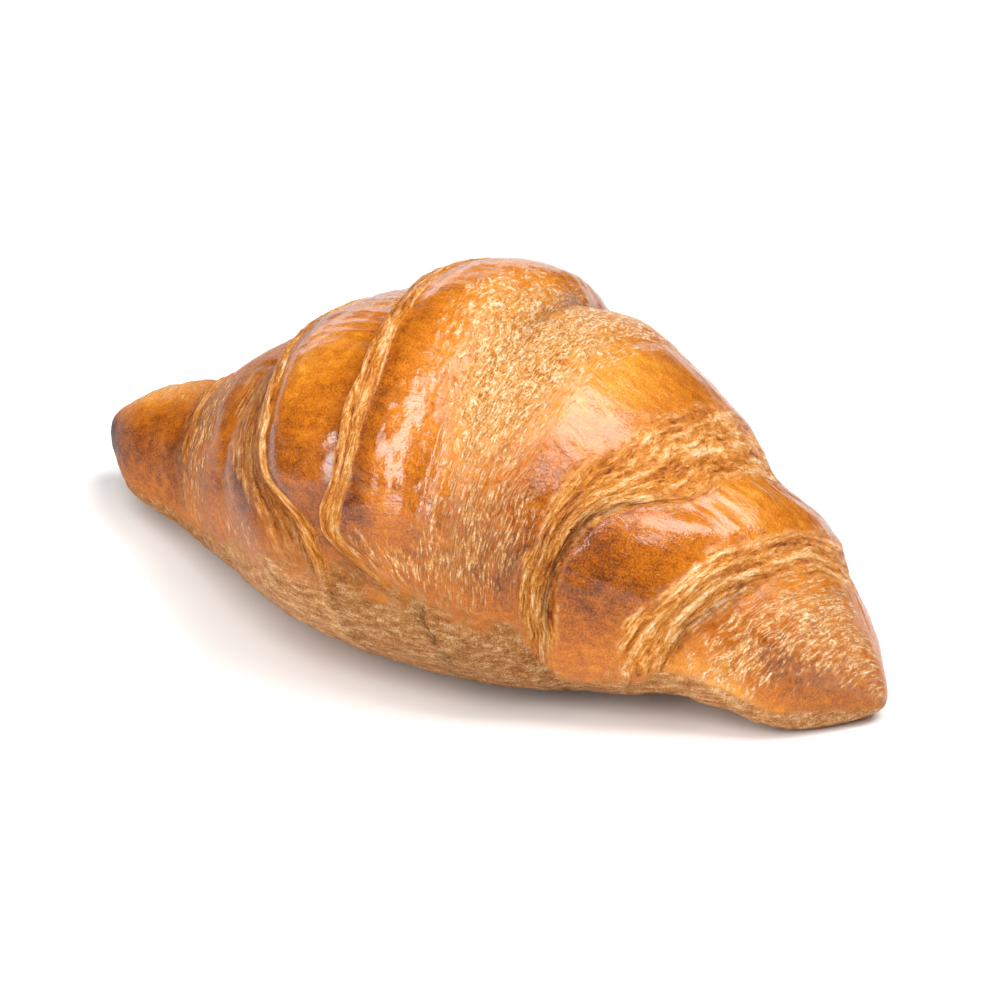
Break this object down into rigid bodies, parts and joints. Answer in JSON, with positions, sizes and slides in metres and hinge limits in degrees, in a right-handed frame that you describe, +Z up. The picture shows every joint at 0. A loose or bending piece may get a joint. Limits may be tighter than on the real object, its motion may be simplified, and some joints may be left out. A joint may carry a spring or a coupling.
{
  "type": "croissant",
  "caption": "Baked crescent roll of laminated dough with stepped wraps, a thin tip, a blunt tip and a flat underside to rest on",
  "frame": {"origin": "middle of the bounding box, on the plane that the croissant rests on", "axes": "+X from the thin tip to the blunt tip, -Y the side that bulges out, +Y the side that the tips bend towards, +Z up"},
  "size_m": [0.16, 0.0726, 0.0641],
  "materials": {
    "crust": "egg-washed baked dough crust, glossy on the wraps, matt on the belly and the open layers"
  },
  "bodies": {
    "root": {"croissant": "crust"}
  },
  "joints": []
}
